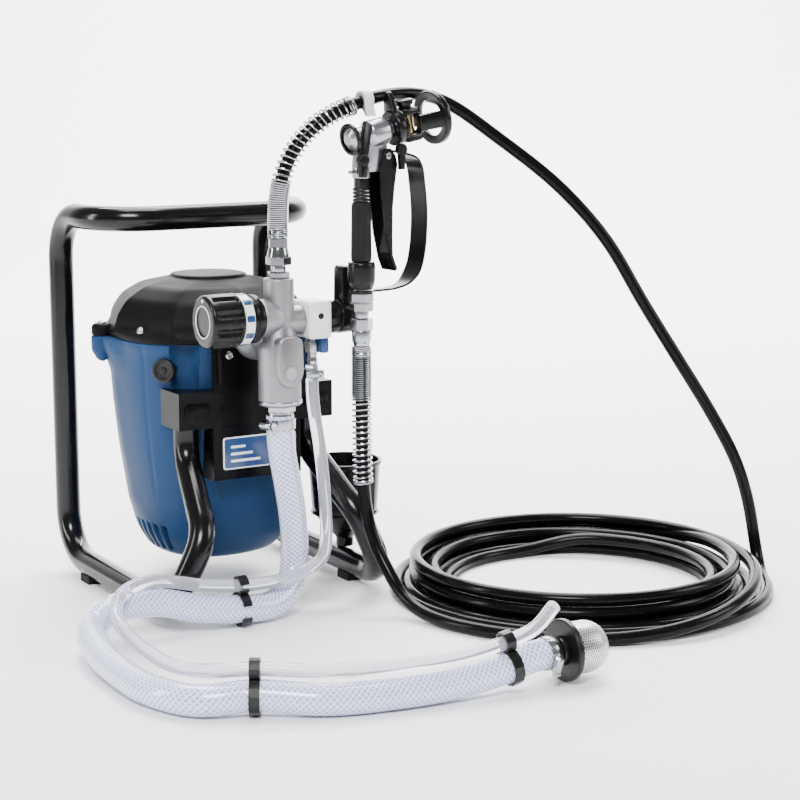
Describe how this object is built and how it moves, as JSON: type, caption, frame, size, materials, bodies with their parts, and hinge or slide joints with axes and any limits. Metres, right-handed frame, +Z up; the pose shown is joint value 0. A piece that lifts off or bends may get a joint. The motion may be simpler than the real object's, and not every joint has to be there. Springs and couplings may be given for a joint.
{
  "type": "airless paint sprayer",
  "caption": "Stand-mounted airless paint pump with blue motor housing, pressure knob, prime lever, coiled pressure hose, spray gun, suction hose with strainer and return tube.",
  "frame": {"origin": "on the floor, centre of the bounding box of everything except the hoses and what is on them", "axes": "+Z up, -Y towards the front plate and pump, +X towards the side with the prime lever and the parking cup"},
  "size_m": [0.7296, 0.6183, 0.5038],
  "materials": {
    "frame": "gloss black enamel on bent steel tube",
    "sheet": "gloss black enamel on pressed steel",
    "foot_rubber": "matt moulded rubber",
    "blue_housing": "fine grained moulding, mid blue",
    "black_plastic": "fine grained moulding, black",
    "gloss_black": "satin gloss moulding, black",
    "grip_rubber": "finely knurled matt grip",
    "cast": "shot-blasted casting",
    "white_block": "white moulding",
    "grey_hook": "light grey moulding",
    "zinc": "bright plated steel",
    "spring": "bright spring wire",
    "steel": "machined steel",
    "rotor": "laminated steel with copper windings",
    "brass": "machined brass",
    "packing": "greased packing",
    "hose": "smooth black outer sheath",
    "suction": "clear reinforced tube with white and blue braid",
    "return": "clear soft tube"
  },
  "bodies": {
    "machine": {"frame_tube_left": "frame", "frame_tube_right": "frame", "front_bracket": "sheet", "label_panel": "sheet", "trigger_guard": "sheet", "foot_front_left": "foot_rubber", "foot_front_right": "foot_rubber", "foot_rear_left": "foot_rubber", "foot_rear_right": "foot_rubber", "motor_housing": "blue_housing", "top_cover": "black_plastic", "brush_cap_left": "black_plastic", "brush_cap_right": "black_plastic", "cable_gland": "black_plastic", "parking_cup": "black_plastic", "tube_clip_1": "black_plastic", "tube_clip_2": "black_plastic", "tube_clip_3": "black_plastic", "strainer_cap": "black_plastic", "regulator_collar": "gloss_black", "valve_collar": "gloss_black", "guard_nut": "gloss_black", "tip_guard": "gloss_black", "grip_collar": "gloss_black", "gun_grip": "grip_rubber", "pump_manifold": "cast", "gun_body": "cast", "gearbox_plate": "cast", "valve_block": "white_block", "gun_hook": "grey_hook", "inlet_fitting": "zinc", "return_barb": "zinc", "outlet_nipple": "zinc", "hose_nut": "zinc", "needle_cap": "zinc", "gun_fitting": "zinc", "gun_swivel": "zinc", "pump_spring_guard": "spring", "gun_spring_guard": "spring", "motor_stator": "steel", "strainer_mesh": "steel", "piston_packing": "packing", "hose_arch": "hose", "hose_coil": "hose", "hose_tail": "hose", "suction_hose": "suction", "return_tube": "return"},
    "knob": {"pressure_knob": "gloss_black"},
    "lever": {"prime_lever": "gloss_black"},
    "rocker": {"power_rocker": "black_plastic"},
    "rotor": {"motor_rotor": "rotor", "cooling_fan": "black_plastic"},
    "gear": {"drive_gear": "steel"},
    "piston": {"drive_yoke": "steel", "piston_rod": "zinc"},
    "inlet_check": {"inlet_ball": "zinc"},
    "outlet_check": {"outlet_ball": "zinc"},
    "trigger": {"gun_trigger": "gloss_black"},
    "lock": {"trigger_lock": "gloss_black"},
    "tip": {"spray_tip": "brass"}
  },
  "joints": [
    {"name": "knob_turn", "type": "hinge", "parent": "machine", "child": "knob", "pos_m": [-0.07891, -0.11203, 0.289], "axis": [1, 0, 0], "range_deg": [0, 270]},
    {"name": "lever_turn", "type": "hinge", "parent": "machine", "child": "lever", "pos_m": [0.05109, -0.11203, 0.285], "axis": [1, 0, 0], "range_deg": [-90, 0]},
    {"name": "rocker_tilt", "type": "hinge", "parent": "machine", "child": "rocker", "pos_m": [-0.01891, 0.13937, 0.215], "axis": [1, 0, 0], "range_deg": [-8, 8]},
    {"name": "rotor_spin", "type": "hinge", "parent": "machine", "child": "rotor", "pos_m": [-0.01891, 0.04197, 0.15], "axis": [0, 0, 1], "continuous": true},
    {"name": "gear_spin", "type": "hinge", "parent": "machine", "child": "gear", "pos_m": [-0.01891, -0.00303, 0.26], "axis": [0, 0, 1], "continuous": true},
    {"name": "piston_travel", "type": "slide", "parent": "machine", "child": "piston", "axis": [0, 1, 0], "range_m": [-0.005, 0.005]},
    {"name": "inlet_lift", "type": "slide", "parent": "machine", "child": "inlet_check", "axis": [0, 0, 1], "range_m": [0, 0.002]},
    {"name": "outlet_lift", "type": "slide", "parent": "machine", "child": "outlet_check", "axis": [0, 0, 1], "range_m": [0, 0.002]},
    {"name": "trigger_pull", "type": "hinge", "parent": "machine", "child": "trigger", "pos_m": [0.08184, -0.13821, 0.44], "axis": [-0.1045, 0.9945, 0], "range_deg": [0, 7], "stiffness_Nm_per_rad": 1, "springref_deg": -17.19},
    {"name": "lock_turn", "type": "hinge", "parent": "machine", "child": "lock", "pos_m": [0.09179, -0.13716, 0.446], "axis": [-0.1045, 0.9945, 0], "range_deg": [0, 90]},
    {"name": "tip_turn", "type": "hinge", "parent": "machine", "child": "tip", "pos_m": [0.10968, -0.13528, 0.46889], "axis": [-0.1881, -0.0198, 0.982], "range_deg": [0, 180]}
  ],
  "couplings": [
    {"joint": "gear_spin", "follows": "rotor_spin", "ratio": -0.25}
  ]
}
